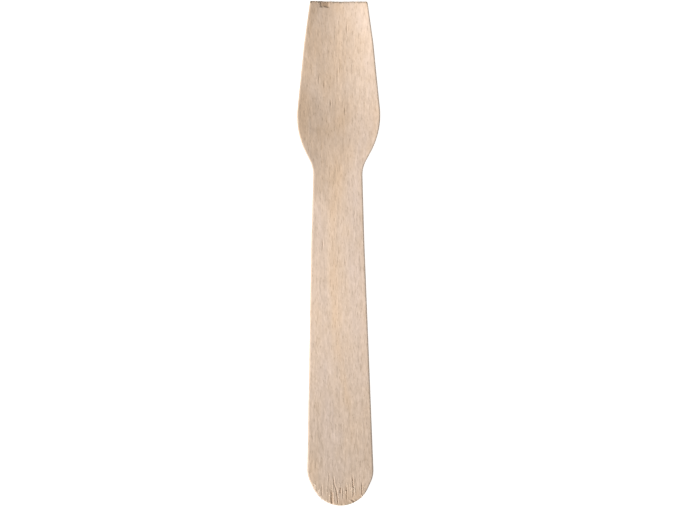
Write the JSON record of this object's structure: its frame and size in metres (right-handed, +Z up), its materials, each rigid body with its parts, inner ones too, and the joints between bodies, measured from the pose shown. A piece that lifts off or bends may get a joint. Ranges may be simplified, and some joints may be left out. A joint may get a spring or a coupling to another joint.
{
  "type": "wooden ice cream spoon",
  "caption": "Small flat disposable spoon stamped from birch veneer, with a shallow pressed bowl, a straight-cut tip and a long handle with a round end.",
  "frame": {"origin": "bottom centre of the bounding box, on the plane that the spoon lies on", "axes": "+Y along the spoon towards the cut tip of the bowl, +Z up out of the open bowl, +X across"},
  "size_m": [0.0156, 0.095, 0.0034],
  "materials": {
    "birch": "matt"
  },
  "bodies": {
    "root": {"spoon": "birch"}
  },
  "joints": []
}
